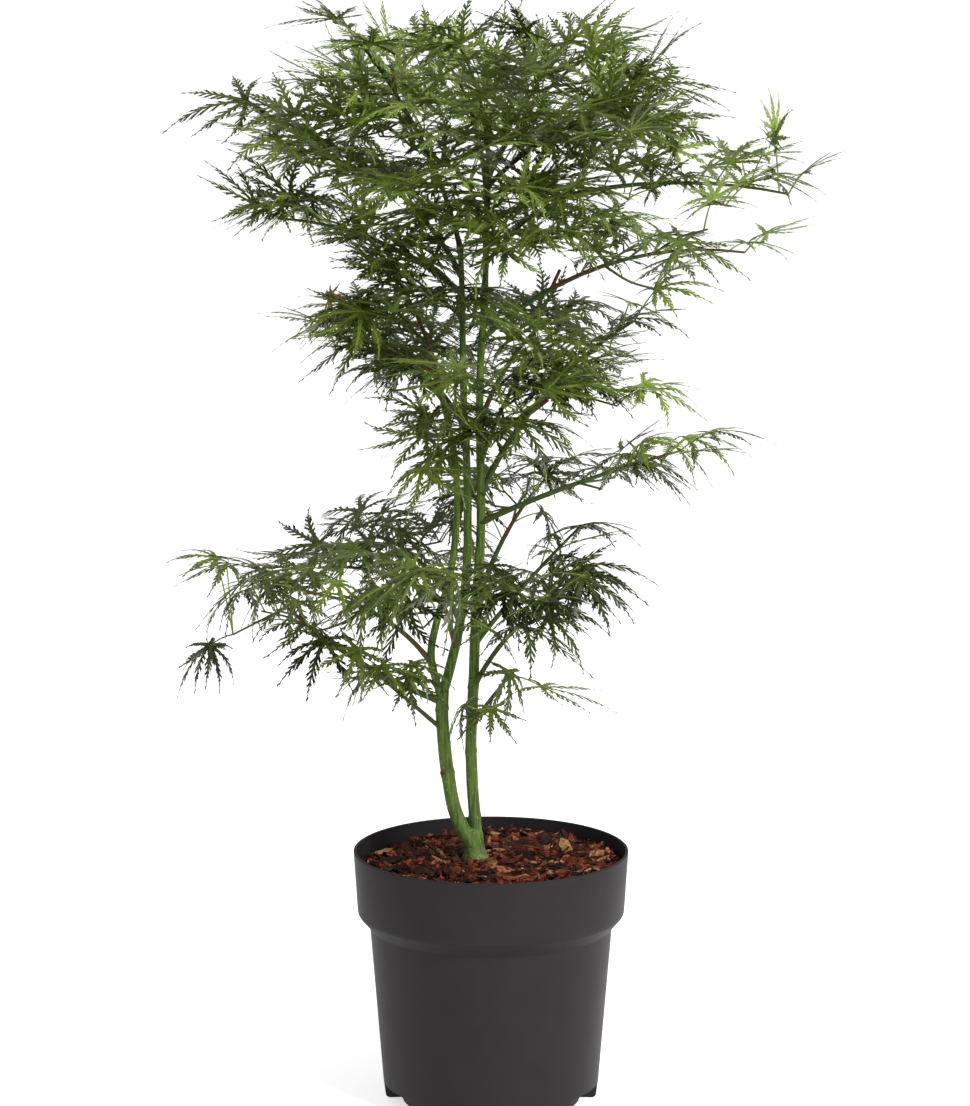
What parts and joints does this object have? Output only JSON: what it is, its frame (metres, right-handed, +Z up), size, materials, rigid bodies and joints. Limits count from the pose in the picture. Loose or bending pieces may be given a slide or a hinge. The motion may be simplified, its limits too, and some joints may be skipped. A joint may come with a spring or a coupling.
{
  "type": "potted laceleaf maple",
  "caption": "Young multi-stemmed laceleaf Japanese maple with airy tiers of finely cut green leaves, in a round collared nursery pot topped with bark mulch.",
  "frame": {"origin": "centre of the pot's flat underside", "axes": "+Z up along the pot's axis, -Y towards the viewer of the front, +X to the viewer's right"},
  "size_m": [0.4427, 0.3642, 0.7633],
  "materials": {
    "pot_plastic": "satin",
    "bark_mulch": "matte",
    "stem_bark": "satin",
    "bough_bark": "satin",
    "maple_leaves": "matte"
  },
  "bodies": {
    "root": {"bark_mulch": "bark_mulch", "inner_front_leaves": "maple_leaves", "inner_left_leaves": "maple_leaves", "leader_tip_leaves": "maple_leaves", "left_inner": "stem_bark", "left_outer": "stem_bark", "left_outer_tip_leaves": "maple_leaves", "left_stem": "stem_bark", "low_back_left_bough": "bough_bark", "low_back_left_leaves": "maple_leaves", "low_back_right_bough": "bough_bark", "low_back_right_leaves": "maple_leaves", "low_front_bough": "bough_bark", "low_front_leaves": "maple_leaves", "low_left_front_leaves": "maple_leaves", "low_left_high_bough": "bough_bark", "low_left_high_leaves": "maple_leaves", "low_left_long_bough": "bough_bark", "low_left_long_leaves": "maple_leaves", "low_left_mid_bough": "bough_bark", "low_left_mid_leaves": "maple_leaves", "low_right_high_bough": "bough_bark", "low_right_high_leaves": "maple_leaves", "low_right_mid_bough": "bough_bark", "low_right_mid_leaves": "maple_leaves", "low_right_small_leaves": "maple_leaves", "mid_back_left_bough": "bough_bark", "mid_back_left_leaves": "maple_leaves", "mid_back_right_bough": "bough_bark", "mid_back_right_leaves": "maple_leaves", "mid_front_bough": "bough_bark", "mid_front_leaves": "maple_leaves", "mid_front_left_leaves": "maple_leaves", "mid_left_long_bough": "bough_bark", "mid_left_long_leaves": "maple_leaves", "mid_right_high_bough": "bough_bark", "mid_right_high_leaves": "maple_leaves", "mid_right_long_bough": "bough_bark", "mid_right_long_leaves": "maple_leaves", "mid_right_rise_bough": "bough_bark", "mid_right_rise_leaves": "maple_leaves", "pot": "pot_plastic", "right_stem": "stem_bark", "top_back_bough": "bough_bark", "top_back_leaves": "maple_leaves", "top_front_bough": "bough_bark", "top_front_leaves": "maple_leaves", "top_left_high_bough": "bough_bark", "top_left_high_leaves": "maple_leaves", "top_left_long_bough": "bough_bark", "top_left_long_leaves": "maple_leaves", "top_left_rise_bough": "bough_bark", "top_left_rise_leaves": "maple_leaves", "top_right_front_bough": "bough_bark", "top_right_front_leaves": "maple_leaves", "top_right_high_bough": "bough_bark", "top_right_high_leaves": "maple_leaves", "top_right_long_bough": "bough_bark", "top_right_long_leaves": "maple_leaves", "trunk": "stem_bark"}
  },
  "joints": []
}
